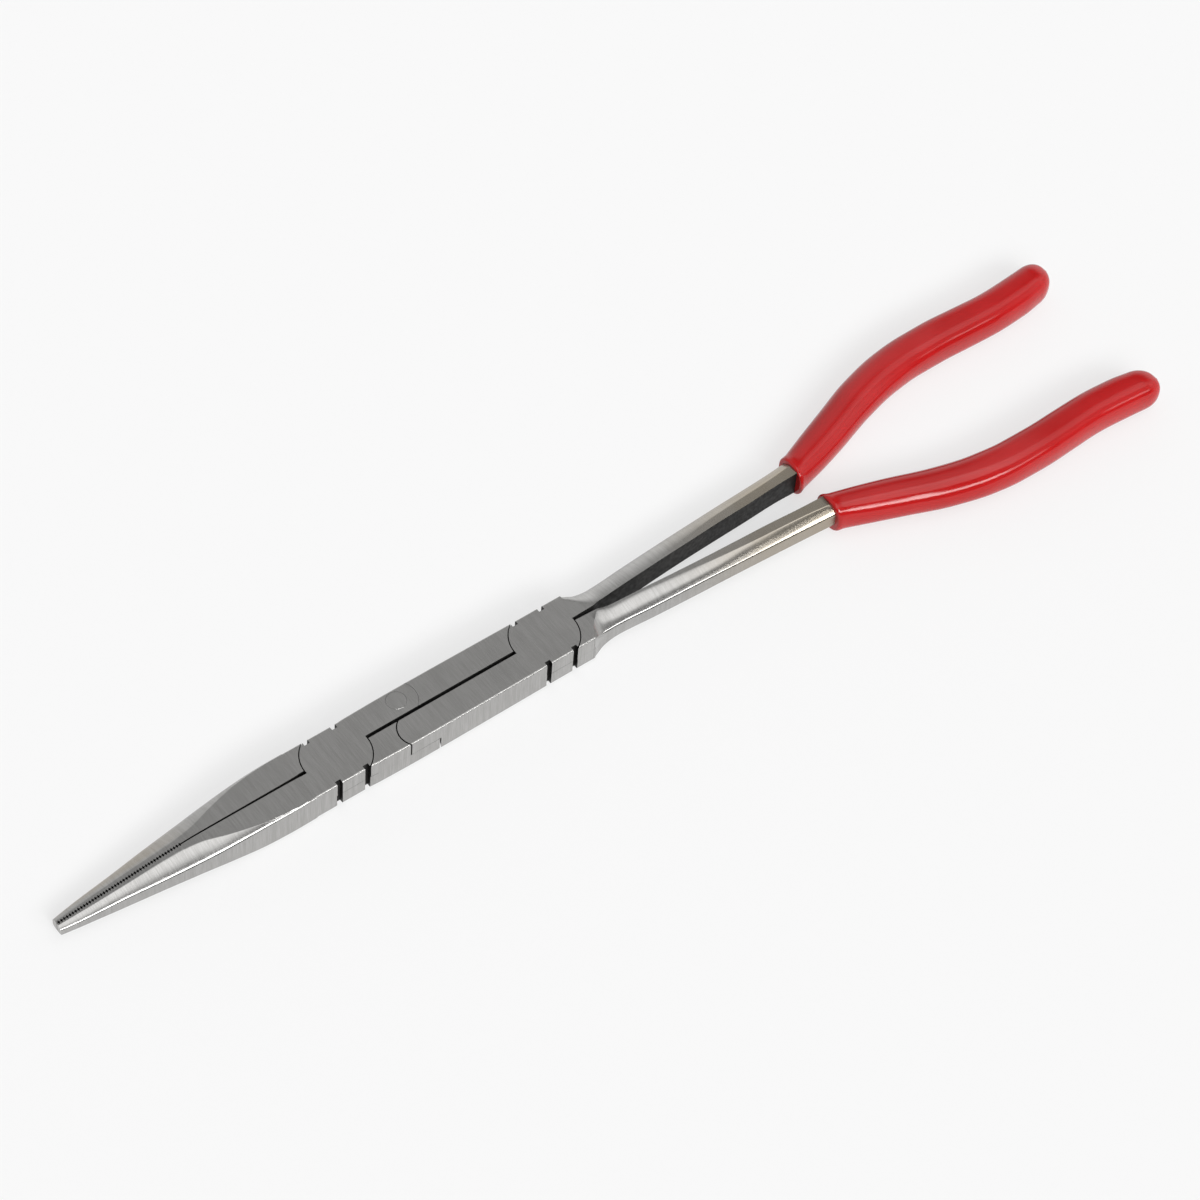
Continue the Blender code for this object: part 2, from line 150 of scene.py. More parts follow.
NOSE_STATIONS = 48
NOSE_FOOT_FILLET = 0.45

SHANK_START_X = 10.2
SHANK_INNER = ((10.8, 0.5), (16, 0.66), (18, 1.09), (20, 1.34), (30, 2.0), (40, 2.65), (50, 3.2),
               (60, 3.7), (70, 4.09), (80, 4.7), (88, 5.0))
SHANK_OUTER = ((10.2, 8.18), (11.4, 7.75), (12.8, 7.25), (14.2, 7.0), (17, 6.95), (20, 7.01),
               (30, 7.7), (40, 8.28), (60, 9.36), (80, 10.37), (88, 10.9))
SHANK_CROWN = ((10.8, 9.22), (13, 9.2), (16, 9.15), (20, 8.78), (30, 8.95), (50, 8.92), (60, 9.06),
               (88, 9.0))
SHANK_SHOULDER = ((10.2, 8.75), (11.2, 7.7), (12.4, 6.7), (13.6, 6.2), (15, 6.07), (20, 6.07),
                  (50, 6.38), (60, 6.38), (80, 6.22), (88, 6.35))
SHANK_LIFT = ((10.2, 0.0), (11.2, 0.6), (12.6, 1.2), (14.2, 0.9), (16, 0.4), (18, 0.0))
SHANK_FOOT = ((10.2, 0.45), (12, 0.6), (15, 2.1), (17, 2.75), (20, 3.03), (40, 3.14), (60, 3.44),
              (80, 3.3), (88, 3.38))
SHANK_FILLET = ((10.2, 0.45), (12, 0.9), (13.6, 1.25), (15, 1.3))
SHANK_SCOOP_TILT = ((20, 32.0), (40, 34.5), (60, 39.5), (80, 44.0))
SHANK_FLAT_EDGE = ((10.2, 7.6), (11.2, 6.1), (12.4, 4.5), (13.6, 3.3), (14.5, 2.2), (16, 1.0),
                   (20, 1.5), (40, 3.4), (60, 5.9), (80, 7.25), (88, 8.1))
SHANK_LOW_EDGE = ((10.8, 7.6), (12, 6.6), (15, 4.6), (18, 2.6), (21, 1.0))
SHANK_CORNER = ((10.2, 0.2), (15, 0.3), (39, 1.2), (52, 1.3), (70, 1.3), (79, 1.1), (87, 0.4))
SHANK_STATIONS = 90
SHANK_CROWDING = 1.5  # power that draws the stations towards the joint

# Grips: centre line, half sizes, the squareness of their sections, rim, end cap and core.
GRIP_CENTRE = ((87.8, 7.65), (98, 11.0), (106, 13.75), (118.5, 18.2), (130.5, 21.1), (140, 22.1),
               (149, 22.2), (158, 21.8), (168, 21.4), (177.5, 21.9), (185, 22.8), (190.4, 23.5))
GRIP_HALF_WIDTH = ((87.8, 4.8), (90, 4.95), (98, 5.55), (108, 5.9), (118.5, 6.05), (130, 6.0),
                   (140, 5.85), (158, 5.7), (168, 5.6), (178, 5.6), (184, 5.35))
GRIP_HALF_HEIGHT = ((87.8, 5.0), (98, 4.95), (118, 5.05), (140, 5.2), (150, 5.3), (190.4, 5.3))
GRIP_POWER = ((88, 2.5), (96, 2.3), (120, 2.2), (150, 2.8), (190, 2.5))
GRIP_SQUARING = 0.33
ROUND_POWER = 2.2
GRIP_NUB_LIFT = 1.6
FAR_MOUTH_X = -0.8
GRIP_SIDES = 72
GRIP_STEP = 1.2
GRIP_CAP_LENGTH = 6.0
GRIP_CAP_STEPS = 22
GRIP_CAP_POWER = 0.7
NUB_LENGTH = 0.5
NUB_SHARE = 0.2
NUB_PROFILE = ((0.4, 0.18), (0.75, 0.14), (0.93, 0.08), (1.0, 0.03))  # shares of length and size
RIM_PROFILE = ((0.0, -0.4), (0.04, -0.15), (0.15, 0.04), (0.35, 0.16), (0.65, 0.22), (1.0, 0.21),
               (1.4, 0.15), (1.9, 0.06), (2.6, 0.0))
CORE_END_X = 182.5
CORE_HALF = 3.5
CORE_BLEND = 4.0
CORE_STEPS = 40
CAVITY_GAP = 0.06
MOUTH_OVERRUN = 2.0

# Edges sharper than this, in degrees, stay sharp under smooth shading.
STEEL_SHARP = 32
VINYL_SHARP = 50

# Materials: linear colours, noise scales per metre (as one number, or along X, Y and Z), and
# roughness as the pair of values that a noise runs between.
WHITE = (1, 1, 1, 1)
NOISE_SPAN = (0.3, 0.7)  # where most of a noise's values lie
GROUND_DEEP = (0.375, 0.37, 0.36, 1)
GROUND_PALE = (0.46, 0.455, 0.445, 1)
BLOOM_TAN = (0.40, 0.345, 0.265, 1)
FINE_GRAIN = (5200.0, 190.0, 190.0)
BROAD_GRAIN = (900.0, 60.0, 60.0)
FINE_SHARE = 0.6
GRAIN_SPAN = (0.25, 0.75)
CLOUD_SCALE = 70.0
GROUND_ROUGH = (0.215, 0.25)
CLOUD_ROUGH = (-0.02, 0.02)
BLOOM_START_X = 30.0
BLOOM_LEVEL = 0.95
TIP_BLOOM_X = (-104.0, -122.0)
TIP_BLOOM_Y = (0.0012, 0.003)
TIP_BLOOM_LEVEL = 0.45
# Near-black unground skin, which also paints the shade between the arms, in notches and laps.
SKIN_AND_SHADE_DEEP = (0.008, 0.0078, 0.0075, 1)
SKIN_AND_SHADE_PALE = (0.02, 0.019, 0.018, 1)
SKIN_ROUGH = (0.38, 0.6)
MOTTLE_SCALE = 900.0
PATCH_SCALE = 160.0
VINYL_DEEP = (0.365, 0.0085, 0.0085, 1)
VINYL_PALE = (0.405, 0.011, 0.0115, 1)
VINYL_SAG = (55.0, 130.0, 130.0)
VINYL_GRAIN = 2600.0
VINYL_TONE = 60.0
VINYL_ROUGH = (0.09, 0.15)
SPECK_SCALE = 420.0
SPECK_TINT = 0.55
SPECK_ROUGH = 0.2
SPECK_COLOUR = (0.12, 0.004, 0.006, 1)
SPECK_SHARE = (0.955, 0.96)
SPECK_EDGE = (0.05, 0.11)
FLOOR_COLOUR = (0.25, 0.25, 0.25, 1)
FLOOR_GLOW = 0.63
FLOOR_HALF = 4.0

# Softboxes: direction, half width and half height as tangents, softness and level.
OVERHEAD = ((0.1, -0.22, 0.97), 0.75, 0.29, 0.08, 1.8)
WINDOW = ((-0.07, -0.75, 0.51), 0.44, 0.13, 0.035, 11.0)
SIDE_LIGHT = ((-0.07, -0.75, 0.51), 0.66, 0.13, 0.035, 3.5)
BRIGHT_PART = ((-0.1, -0.75, 0.62), 0.15, 0.25, 0.04, 14.0)
PANEL_AHEAD = (0.02, 0.05)

# Walls: ramps over one part of the direction, as start, finish and the level at each.
UNLIT_ALONG = (0.45, 0.52, 0.0, 0.75)
UNLIT_UP = (0.3, 0.65, 0.0, 1.0)
REAR_ALONG = (0.27, 0.36, 0.45, 0.82)
REAR_UP = (0.15, 0.7, 0.36, 0.0)
GAP_UP = (0.35, 0.6, 0.0, 1.0)
GAP_ALONG = (0.26, 0.44, 0.0, 0.4)
FRONT_ALONG = (0.5, 0.8, 0.03, 0.8)
FRONT_TO_REAR = (-0.15, 0.3, 0.0, 1.0)
OVERHEAD_ALONG = (0.38, 0.48, 1.0, 0.4)


def read_profile(points, x):
    """A smooth curve through the points, flat beyond both ends, with no overshoot between them."""
    if x <= points[0][0]:
        return points[0][1]
    if x >= points[-1][0]:
        return points[-1][1]
    slopes = [(b[1] - a[1]) / (b[0] - a[0]) for a, b in zip(points, points[1:])]
    tangents = [slopes[0]]
    for before, after in zip(slopes, slopes[1:]):
        same_way = before * after > 0
        tangents.append(2 * before * after / (before + after) if same_way else 0.0)
    tangents.append(slopes[-1])
    for i, (a, b) in enumerate(zip(points, points[1:])):
        if x <= b[0]:
            span = b[0] - a[0]
            t = (x - a[0]) / span
            rise = t * t * (3 - 2 * t)
            start = t * (1 - t) ** 2 * tangents[i]
            finish = t * t * (t - 1) * tangents[i + 1]
            return a[1] + rise * (b[1] - a[1]) + span * (start + finish)
    return points[-1][1]


def half_width(x):
    """Half width of the flat forgings, a little wider at the link pins than at the pivots."""
    points = ((FRONT_X, FRONT_HALF_WIDTH), (LINK_X, LINK_HALF_WIDTH), (0.0, REAR_HALF_WIDTH))
    return read_profile(points, x)


def place(point):
    """A point of the model, in metres in the world."""
    return (Vector(point) + ORIGIN) * MM


def turned_over(point):
    """The point after half a turn about the long axis of the pliers."""
    x, y, z = point
    return (x, -y, THICK - z)


# ---------------------------------------------------------------- meshes

def loft(name, rings):
    """A closed mesh through rings of points, each joined to the next, with both ends filled."""
    build = bmesh.new()
    loops = [[build.verts.new(place(point)) for point in ring] for ring in rings]
    for low, high in zip(loops, loops[1:]):
        count = len(low)
        for i in range(count):
            j = (i + 1) % count
            build.faces.new((low[i], low[j], high[j], high[i]))
    build.faces.new(loops[0][::-1])
    build.faces.new(loops[-1])
    bmesh.ops.recalc_face_normals(build, faces=build.faces)
    mesh = bpy.data.meshes.new(name)
    build.to_mesh(mesh)
    build.free()
    obj = bpy.data.objects.new(name, mesh)
    bpy.context.scene.collection.objects.link(obj)
    return obj


def combine(obj, others):
    """Applies Booleans to obj: others are (object, operation) pairs, removed afterwards."""
    for other, operation in others:
        modifier = obj.modifiers.new(operation.title(), "BOOLEAN")
        modifier.operation = operation
        modifier.solver = "EXACT"
        modifier.object = other
    bpy.context.view_layer.update()
    evaluated = obj.evaluated_get(bpy.context.evaluated_depsgraph_get())
    mesh = bpy.data.meshes.new_from_object(evaluated)
    obj.modifiers.clear()
    obj.data = mesh
    for other, _ in others:
        bpy.data.objects.remove(other, do_unlink=True)
    return obj


def shade(obj, sharp_degrees):
    """Smooth shading that keeps edges sharper than this angle and favours the large faces."""
    obj.data.shade_smooth()
    obj.data.set_sharp_from_angle(angle=radians(sharp_degrees))
    modifier = obj.modifiers.new("Weighted", "WEIGHTED_NORMAL")
    modifier.mode = "FACE_AREA"
    modifier.keep_sharp = True


def arc(centre_x, centre_y, radius, start, finish, steps=ARC_STEPS):
    """Points along an arc, with angles in radians, both ends included."""
    points = []
    for i in range(steps + 1):
        angle = start + (finish - start) * i / steps
        points.append((centre_x + radius * cos(angle), centre_y + radius * sin(angle)))
    return points


class Joint:
    """Outlines round one pivot, drawn for the strip at +X and +Y of it.

    The strip on the other side is the same drawing after half a turn about the pivot. Every
    outline can be drawn with its long outer edge moved in, with as many points as before.
    """

    def __init__(self, pivot_x, side, flat_x, lap_end_radius=LAP_END_RADIUS):
        self.pivot_x = pivot_x
        self.side = side
        self.flat_x = flat_x
        self.lap_end_radius = lap_end_radius

    def width(self, x):
        return half_width(self.pivot_x + self.side * x)

    def out(self, points):
        return [(self.pivot_x + self.side * x, self.side * y) for x, y in points]

    def link_arc(self, radius, direction, step, inset):
        """The round of a lap end (direction 1) or of its shoulder (-1), from the gap outwards."""
        centre = abs(LINK_X - self.pivot_x)
        inner = asin((LINK_Y - ARM_GAP_HALF - step) / radius)
        outer = asin((LINK_HALF_WIDTH - LINK_Y - step - inset) / radius)
        if direction > 0:
            return arc(centre, LINK_Y, radius, -inner, outer)
        return arc(centre, LINK_Y, radius, pi + inner, pi - outer)

    def long_edge(self, start_x, finish_x, step):
        """Points between two places on the outer edge, leaving out both ends."""
        spacing = (finish_x - start_x) / EDGE_PIECES
        places = [start_x + spacing * i for i in range(1, EDGE_PIECES)]
        return [(x, self.width(x) - step) for x in places]

    def half_disc(self, inset):
        """From the slot under the disc's round, by the strip's end, to the strip's own slot."""
        edge = self.width(0.0)
        floor = edge - SLOT_DEPTH
        corner = min(DISC_RADIUS * sin(acos(SLOT_OUTER / DISC_RADIUS)), edge - inset)
        points = [(SLOT_INNER, inset - edge), (SLOT_INNER, -floor)]
        points += [(SLOT_OUTER, -floor), (SLOT_OUTER, -corner)]
        points += arc(0.0, 0.0, DISC_RADIUS, -asin((corner - SLOT_CORNER) / DISC_RADIUS),
                      asin(ARM_GAP_HALF / DISC_RADIUS))
        if self.flat_x is None:
            points += self.link_arc(self.lap_end_radius, 1, 0.0, inset)
        else:
            points += [(self.flat_x, ARM_GAP_HALF), (self.flat_x, self.width(self.flat_x) - inset)]
        points += self.long_edge(points[-1][0], SLOT_OUTER, inset)
        points += [(SLOT_OUTER, edge - inset), (SLOT_OUTER, floor)]
        points += [(SLOT_INNER, floor), (SLOT_INNER, edge - inset)]
        return self.out(points)

    def block(self, inset):
        """The full-height part of the strip, between the disc's shoulder and the strip's end."""
        edge = self.width(0.0) - JOIN_STEP - inset
        gap = ARM_GAP_HALF + JOIN_STEP
        if self.flat_x is None:
            points = self.link_arc(LAP_SHOULDER_RADIUS, -1, JOIN_STEP, inset)
        else:
            end_x = self.flat_x - JOIN_OVERLAP / 2
            points = [(end_x, gap), (end_x, self.width(end_x) - JOIN_STEP - inset)]
        points += self.long_edge(points[-1][0], BLOCK_EDGE_END, JOIN_STEP + inset)
        points += arc(0.0, 0.0, SHOULDER_RADIUS, asin(edge / SHOULDER_RADIUS),
                      asin(gap / SHOULDER_RADIUS))
        return self.out(points)


def ring_at(outline, z):
    return [(x, y, z) for x, y in outline]


def edge_round():
    """(inset, depth) pairs from the flat face down the rounded edge."""
    angles = [pi / 2 * i / EDGE_STEPS for i in range(EDGE_STEPS + 1)]
    return [(EDGE_ROUND * (1 - sin(angle)), EDGE_ROUND * (1 - cos(angle))) for angle in angles]


def circle_ring(x, y, radius, z):
    return ring_at(arc(x, y, radius, 0.0, 2 * pi * (1 - 1 / PIN_SIDES), PIN_SIDES - 1), z)


def bow(y0, z0, y1, z1, end_tilt, sense):
    """Points from the first place to the last one, falling (sense -1) or rising (1) ever faster."""
    chord = atan2(abs(z1 - z0), y1 - y0)
    start_tilt = min(max(0.0, 2 * chord - end_tilt), STEEPEST_START)
    if abs(start_tilt - end_tilt) < LEAST_TURN:
        start_tilt = end_tilt - LEAST_TURN
    points = []
    for i in range(SCOOP_STEPS + 1):
        tilt = start_tilt + (end_tilt - start_tilt) * i / SCOOP_STEPS
        across = (sin(tilt) - sin(start_tilt)) / (sin(end_tilt) - sin(start_tilt))
        down = (cos(start_tilt) - cos(tilt)) / (cos(start_tilt) - cos(end_tilt))
        points.append((y0 + (y1 - y0) * across, z0 + sense * abs(z1 - z0) * down))
    return points


def section(x, side, start, inner, corner, outer, crown, low, shoulder, foot, fillet, foot_fillet,
            flat_edge, low_edge, scoop_tilt=NOSE_SCOOP_TILT):
    """One cross-section of a long part, from its lower inner corner round by the top.

    Above, it runs flat to flat_edge, then falls in a shallow scoop to the outer fillet. Below, it
    is the same, with its own flat edge. The outer roundings start at the place called start, so
    that teeth don't move them.
    """
    points = [(inner + corner, low), (inner, low + corner)]
    points += [(inner, crown - RIM), (inner + RIM, crown)]
    flat_edge = max(flat_edge, start + LEAST_FLAT)
    low_edge = max(low_edge, start + corner + LEAST_FLAT)
    scoop_tilt = radians(scoop_tilt)
    scoop_end = outer - fillet * (1 - sin(scoop_tilt))
    points += bow(flat_edge, crown, scoop_end, shoulder + fillet * cos(scoop_tilt), scoop_tilt, -1)
    for i in range(1, FILLET_STEPS + 1):
        tilt = scoop_tilt + (pi / 2 - scoop_tilt) * i / FILLET_STEPS
        points.append((outer - fillet * (1 - sin(tilt)), shoulder + fillet * cos(tilt)))
    for i in range(FILLET_STEPS):
        tilt = pi / 2 - (pi / 2 - FOOT_TILT) * i / FILLET_STEPS
        points.append((outer - foot_fillet * (1 - sin(tilt)), foot - foot_fillet * cos(tilt)))
    foot_end = outer - foot_fillet * (1 - sin(FOOT_TILT))
    points += bow(low_edge, low, foot_end, foot - foot_fillet * cos(FOOT_TILT), FOOT_TILT, 1)[::-1]
    return [(x, side * y, z) for y, z in points]


def nose_section(x, inner, side):
    start = max(read_profile(NOSE_INNER, x), TOOTH_ROOT) + RIM
    return section(x, side, start, inner, RIM, read_profile(NOSE_OUTER, x),
                   read_profile(NOSE_CROWN, x), read_profile(NOSE_LOW, x),
                   read_profile(NOSE_SHOULDER, x), read_profile(NOSE_FOOT, x),
                   read_profile(NOSE_FILLET, x), NOSE_FOOT_FILLET,
                   read_profile(NOSE_FLAT_EDGE, x), read_profile(NOSE_LOW_EDGE, x))


def nose_rings(side):
    """Sections from the tip to the joint: teeth first, then a gap that widens towards the joint."""
    rings = []
    for i in range(TOOTH_COUNT):
        crest_x = TIP_X + i * TOOTH_PITCH
        for along, inner in TOOTH_SHAPE:
            rings.append(nose_section(crest_x + TOOTH_PITCH * along, inner, side))
    teeth_end = TIP_X + TOOTH_COUNT * TOOTH_PITCH
    for i in range(NOSE_STATIONS):
        x = teeth_end + (NOSE_START_X - teeth_end) * i / (NOSE_STATIONS - 1)
        rings.append(nose_section(x, read_profile(NOSE_INNER, x), side))
    return rings


def shank_shoulder(x, side):
    """Height of the outer fillet's centre, raised where the right handle leaves its joint."""
    lift = read_profile(SHANK_LIFT, x) if side > 0 else 0.0
    return read_profile(SHANK_SHOULDER, x) + lift


def shank_section(x, side):
    inner = read_profile(SHANK_INNER, x)
    crown = read_profile(SHANK_CROWN, x)
    return section(x, side, inner + RIM, inner, read_profile(SHANK_CORNER, x),
                   read_profile(SHANK_OUTER, x), crown, THICK - crown,
                   shank_shoulder(x, side), read_profile(SHANK_FOOT, x),
                   read_profile(SHANK_FILLET, x), read_profile(SHANK_FILLET, x),
                   read_profile(SHANK_FLAT_EDGE, x), read_profile(SHANK_LOW_EDGE, x),
                   read_profile(SHANK_SCOOP_TILT, x))


def core_section(x, margin, side):
    """The handle's core inside its grip, a rounded bar about the grip's centre line."""
    blend = min(1.0, max(0.0, (x - GRIP_START_X) / CORE_BLEND))

    def mixed(profile, core_value):
        shank_value = read_profile(profile, x)
        return shank_value + blend * (core_value - shank_value)

    centre = read_profile(GRIP_CENTRE, x)
    inner = mixed(SHANK_INNER, centre - CORE_HALF) - margin
    outer = mixed(SHANK_OUTER, centre + CORE_HALF) + margin
    crown = mixed(SHANK_CROWN, MID_Z + CORE_HALF) + margin
    shoulder = mixed(SHANK_SHOULDER, MID_Z + CORE_HALF / 2)
    foot = mixed(SHANK_FOOT, MID_Z - CORE_HALF / 2)
    fillet = read_profile(SHANK_FILLET, x) + margin
    flat_edge = mixed(SHANK_FLAT_EDGE, centre)
    return section(x, side, inner + RIM, inner, read_profile(SHANK_CORNER, x), outer, crown,
                   THICK - crown, shoulder, foot, fillet, fillet, flat_edge, inner,
                   read_profile(SHANK_SCOOP_TILT, x))


def core_stations():
    spacing = (CORE_END_X - GRIP_START_X) / CORE_STEPS
    return [GRIP_START_X + spacing * i for i in range(CORE_STEPS + 1)]


def shank_rings(side):
    length = GRIP_START_X - SHANK_START_X
    places = [SHANK_START_X + length * (i / SHANK_STATIONS) ** SHANK_CROWDING
              for i in range(SHANK_STATIONS)]
    rings = [shank_section(x, side) for x in places]
    return rings + [core_section(x, 0.0, side) for x in core_stations()]


def make_forging(name, joints, long_rings, over):
    """A jaw or handle: half-thickness disc plate, two full-height blocks and the long end."""
    turn = turned_over if over else tuple

    def solid(suffix, rings):
        return loft(name + suffix, [[turn(point) for point in ring] for ring in rings])

    def outline(part, inset):
        return [point for joint in joints for point in part(joint, inset)]

    lap_z = MID_Z + LAP_GAP / 2
    rings = [ring_at(outline(Joint.half_disc, 0.0), lap_z)]
    for inset, depth in reversed(edge_round()):
        rings.append(ring_at(outline(Joint.half_disc, inset), THICK - depth))
    forging = solid("_fine", rings)
    extras = []
    for i, joint in enumerate(joints):
        rings = [ring_at(joint.block(inset), depth) for inset, depth in edge_round()]
        rings.append(ring_at(joint.block(0.0), lap_z + LAP_OVERLAP))
        extras.append((solid("_block_" + str(i + 1), rings), "UNION"))
    extras.append((loft(name + "_long_end", long_rings), "UNION"))
    return combine(forging, extras)


def hole(x, y, radius, low_z, high_z):
    rings = [circle_ring(x, y, radius, low_z), circle_ring(x, y, radius, high_z)]
    return loft("hole", rings), "DIFFERENCE"


def make_pin(name, x, y, radius, low_z, high_z):
    """A turned pin with flat faces, ringed for even shading, and a small chamfer at both ends."""
    inner = radius - PIN_CHAMFER
    rings = [circle_ring(x, y, radius * share, low_z) for share in PIN_FACE_RINGS]
    rings += [circle_ring(x, y, inner, low_z), circle_ring(x, y, radius, low_z + PIN_CHAMFER)]
    rings += [circle_ring(x, y, radius, high_z - PIN_CHAMFER), circle_ring(x, y, inner, high_z)]
    rings += [circle_ring(x, y, radius * share, high_z) for share in reversed(PIN_FACE_RINGS)]
    return loft(name + "_fine", rings)


def rounded(value, power):
    """The signed power that turns a circle's coordinate into a rounded square's."""
    return abs(value) ** (2 / power) * (1 if value > 0 else -1)


def grip_ring(x, share, extra, side):
    """One outer section of a grip: a rounded square, drawn in to this share of its size."""
    centre = read_profile(GRIP_CENTRE, x)
    power = read_profile(GRIP_POWER, x)
    squarer = GRIP_SQUARING * (power - ROUND_POWER)
    across = (read_profile(GRIP_HALF_WIDTH, x) - squarer) * share + extra
    up = min(GRIP_HALF_THICK, read_profile(GRIP_HALF_HEIGHT, x) * share + extra)
    middle = MID_Z + GRIP_NUB_LIFT * (1 - share) ** 2
    ring = []
    for i in range(GRIP_SIDES):
        angle = 2 * pi * (i + 0.5) / GRIP_SIDES
        y = centre + across * rounded(cos(angle), power)
        ring.append((x, side * y, middle + up * rounded(sin(angle), power)))
    return ring


def make_grip(name, side, mouth_x):
    """A dipped grip: rolled rim, long swelling body, rounded end with the drip's small nub."""
    rings = [grip_ring(mouth_x + x, 1.0, extra, side) for x, extra in RIM_PROFILE]
    start = mouth_x + RIM_PROFILE[-1][0]
    finish = GRIP_END_X - NUB_LENGTH - GRIP_CAP_LENGTH
    count = round((finish - start) / GRIP_STEP)
    for i in range(1, count + 1):
        rings.append(grip_ring(start + (finish - start) * i / count, 1.0, 0.0, side))
    for i in range(1, GRIP_CAP_STEPS + 1):
        angle = pi / 2 * i / GRIP_CAP_STEPS
        share = max(NUB_SHARE, cos(angle) ** GRIP_CAP_POWER)
        rings.append(grip_ring(finish + GRIP_CAP_LENGTH * sin(angle), share, 0.0, side))
    for along, share in NUB_PROFILE:
        rings.append(grip_ring(GRIP_END_X - NUB_LENGTH * (1 - along), share, 0.0, side))
    obj = loft(name + "_fine", rings)
    cavity = [core_section(x, CAVITY_GAP, side) for x in core_stations()]
    mouth = [(x - MOUTH_OVERRUN, y, z) for x, y, z in cavity[0]]
    last = [(x + CAVITY_GAP, y, z) for x, y, z in cavity[-1]]
    return combine(obj, [(loft("cavity", [mouth] + cavity[:-1] + [last]), "DIFFERENCE")])


# ---------------------------------------------------------------- materials

class Nodes:
    """A short way to write a node tree."""

    def __init__(self, tree):
        self.tree = tree
        tree.nodes.clear()

    def add(self, kind, inputs=None, **settings):
        node = self.tree.nodes.new(kind)
        for key, value in settings.items():
            setattr(node, key, value)
        for key, value in (inputs or {}).items():
            if isinstance(value, bpy.types.NodeSocket):
                self.tree.links.new(value, node.inputs[key])
            else:
                node.inputs[key].default_value = value
        return node

    def math(self, operation, a, b=0.0):
        return self.add("ShaderNodeMath", {0: a, 1: b}, operation=operation).outputs[0]

    def vector_math(self, operation, a, b):
        return self.add("ShaderNodeVectorMath", {0: a, 1: b}, operation=operation)

    def noise(self, vector, scale, detail, roughness=0.5):
        inputs = {"Vector": vector, "Scale": scale, "Detail": detail, "Roughness": roughness}
        return self.add("ShaderNodeTexNoise", inputs).outputs["Fac"]

    def stretched(self, vector, scale):
        return self.vector_math("MULTIPLY", vector, scale).outputs["Vector"]

    def remap(self, value, low, high, to_low, to_high):
        """A smooth step from one level to the other."""
        inputs = {0: value, 1: low, 2: high, 3: to_low, 4: to_high}
        return self.add("ShaderNodeMapRange", inputs, interpolation_type="SMOOTHSTEP").outputs[0]

    def mix(self, factor, a, b):
        inputs = {0: factor, 6: a, 7: b}
        return self.add("ShaderNodeMix", inputs, data_type="RGBA").outputs[2]

    def bump(self, height, strength, distance, normal=None):
        inputs = {"Height": height, "Strength": strength, "Distance": distance}
        if normal is not None:
            inputs["Normal"] = normal
        return self.add("ShaderNodeBump", inputs).outputs["Normal"]


def new_material(name):
    material = bpy.data.materials.new(name)
    material.use_nodes = True
    return material, Nodes(material.node_tree)


def ground_steel():
    """Ground steel: fine scratches across the tool, a brushed sheen, and a tan bloom.

    The bloom deepens towards the grips, and shows faintly on the far jaw's nose.
    """
    material, n = new_material("ground_steel_fine")
    place_on = n.add("ShaderNodeTexCoord").outputs["Object"]
    along = n.add("ShaderNodeSeparateXYZ", {0: place_on}).outputs["X"]
    fine = n.noise(n.stretched(place_on, FINE_GRAIN), 1.0, 2.0)
    broad = n.noise(n.stretched(place_on, BROAD_GRAIN), 1.0, 3.0)
    cloud = n.noise(place_on, CLOUD_SCALE, 4.0, 0.6)
    grain = n.math("ADD", n.math("MULTIPLY", fine, FINE_SHARE),
                   n.math("MULTIPLY", broad, 1 - FINE_SHARE))
    bloom_start, bloom_end = (place((x, 0, 0)).x for x in (BLOOM_START_X, GRIP_START_X))
    bloom = n.remap(along, bloom_start, bloom_end, 0.0, BLOOM_LEVEL)
    across = n.add("ShaderNodeSeparateXYZ", {0: place_on}).outputs["Y"]
    tip_start, tip_end = (place((x, 0, 0)).x for x in TIP_BLOOM_X)
    tip_bloom = n.math("MULTIPLY", n.remap(along, tip_end, tip_start, TIP_BLOOM_LEVEL, 0.0),
                       n.remap(across, *TIP_BLOOM_Y, 0.0, 1.0))
    bloom = n.math("MULTIPLY", n.math("ADD", bloom, tip_bloom),
                   n.remap(cloud, *NOISE_SPAN, 0.75, 1.0))
    bright = n.mix(n.remap(grain, *NOISE_SPAN, 0.0, 1.0), GROUND_DEEP, GROUND_PALE)
    colour = n.mix(bloom, bright, BLOOM_TAN)
    rough = n.math("ADD", n.remap(grain, *GRAIN_SPAN, *GROUND_ROUGH),
                   n.remap(cloud, *NOISE_SPAN, *CLOUD_ROUGH))
    normal = n.bump(fine, 0.01, 0.00001)
    tangent = n.add("ShaderNodeTangent", direction_type="RADIAL", axis="X").outputs[0]
    shader = n.add("ShaderNodeBsdfPrincipled", {
        "Base Color": colour, "Metallic": 1.0, "Roughness": rough, "Normal": normal,
        "Tangent": tangent, "Anisotropic": 0.9, "Anisotropic Rotation": 0.25})
    n.add("ShaderNodeOutputMaterial", {"Surface": shader.outputs[0]})
    return material


def scale_and_shade_steel():
    """Unground skin with painted shade: near black on the lap faces, notches and the inner sides.
    """
    material, n = new_material("scale_and_shade_steel_fine")
    place_on = n.add("ShaderNodeTexCoord").outputs["Object"]
    mottle = n.noise(place_on, MOTTLE_SCALE, 5.0, 0.65)
    patches = n.noise(place_on, PATCH_SCALE, 3.0)
    colour = n.mix(n.remap(patches, *NOISE_SPAN, 0.0, 1.0), SKIN_AND_SHADE_DEEP, SKIN_AND_SHADE_PALE)
    rough = n.remap(mottle, *NOISE_SPAN, *SKIN_ROUGH)
    shader = n.add("ShaderNodeBsdfPrincipled", {
        "Base Color": colour, "Metallic": 0.4, "Roughness": rough, "IOR": 1.3,
        "Normal": n.bump(mottle, 0.35, 0.00006)})
    n.add("ShaderNodeOutputMaterial", {"Surface": shader.outputs[0]})
    return material


